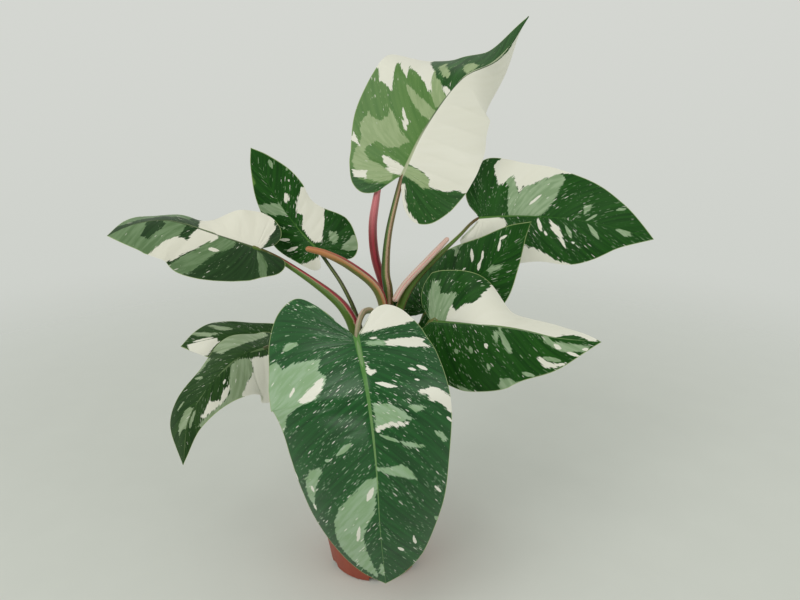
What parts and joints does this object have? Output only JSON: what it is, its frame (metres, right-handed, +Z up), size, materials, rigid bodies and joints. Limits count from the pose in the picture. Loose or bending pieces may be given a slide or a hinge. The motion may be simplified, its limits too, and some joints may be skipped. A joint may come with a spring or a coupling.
{
  "type": "potted white princess philodendron",
  "caption": "Variegated heart-leaf philodendron with green and white marbled leaves on long petioles, in a tapered nursery pot.",
  "frame": {"origin": "middle of the pot's flat underside, which stands on the surface", "axes": "+Z up along the pot's axis; -Y is the side that the picture looks at; +X is to the right in the picture"},
  "size_m": [0.461, 0.2203, 0.4711],
  "materials": {
    "leaf": "satin",
    "leaf_pale": "satin",
    "petiole": "satin",
    "sheath_red": "satin",
    "sheath_orange": "satin",
    "sheath_pale": "satin",
    "stem": "satin",
    "potting_mix": "matte",
    "pot": "satin"
  },
  "bodies": {
    "root": {"leaf_front": "leaf", "leaf_top": "leaf_pale", "leaf_right": "leaf", "leaf_inner": "leaf", "leaf_low_right": "leaf", "leaf_arching": "leaf", "leaf_low_left": "leaf", "leaf_upper_left": "leaf", "leaf_left": "leaf_pale", "petiole_top": "petiole", "petiole_right": "petiole", "petiole_inner": "petiole", "petiole_low_right": "petiole", "petiole_front": "petiole", "petiole_left": "petiole", "petiole_upper_left": "petiole", "petiole_arching": "petiole", "petiole_low_left": "petiole", "sheath_red": "sheath_red", "sheath_orange": "sheath_orange", "sheath_pale": "sheath_pale", "stem": "stem", "potting_mix": "potting_mix", "pot": "pot"}
  },
  "joints": []
}
